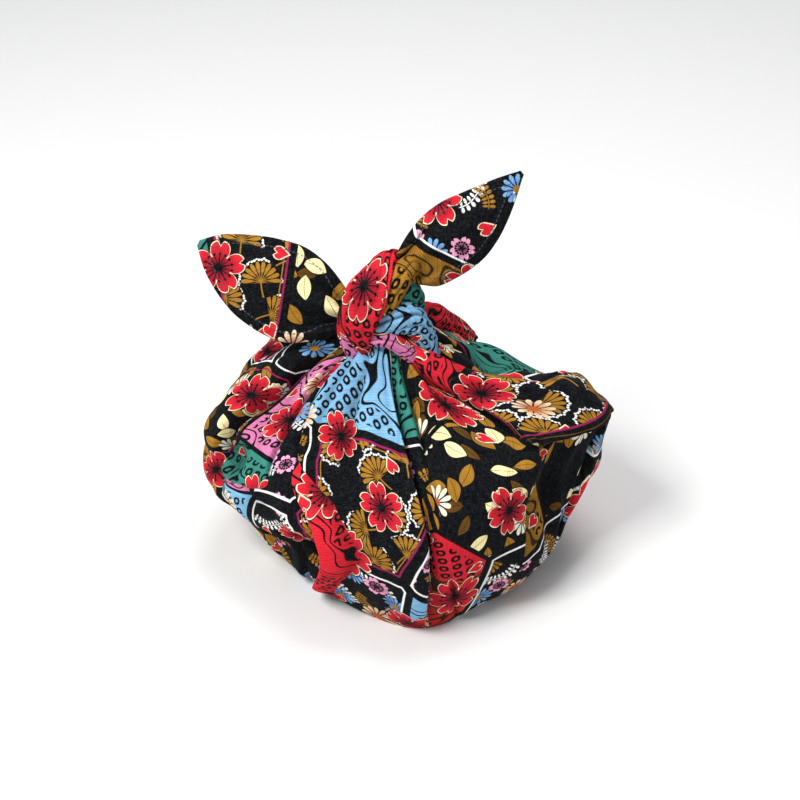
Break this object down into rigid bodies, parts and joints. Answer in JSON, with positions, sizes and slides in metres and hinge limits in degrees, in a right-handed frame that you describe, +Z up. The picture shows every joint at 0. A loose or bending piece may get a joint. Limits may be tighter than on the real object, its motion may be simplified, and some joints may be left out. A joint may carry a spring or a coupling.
{
  "type": "lunch cloth",
  "caption": "Square printed cotton cloth wrapped round a lunch and tied in one knot, its two corners standing up as ears.",
  "frame": {"origin": "centre of the bundle's flat underside, on the surface it stands on", "axes": "+Z up; the near side with its overlapping front pleat faces -Y; the wide shoulder and the upright ear are towards +X, the lying ear towards -X"},
  "size_m": [0.1854, 0.1611, 0.1869],
  "materials": {
    "printed_cotton": "matt ribbed cotton, printed with flowers on a navy-black ground"
  },
  "bodies": {
    "root": {"wrapped_cloth": "printed_cotton"}
  },
  "joints": []
}
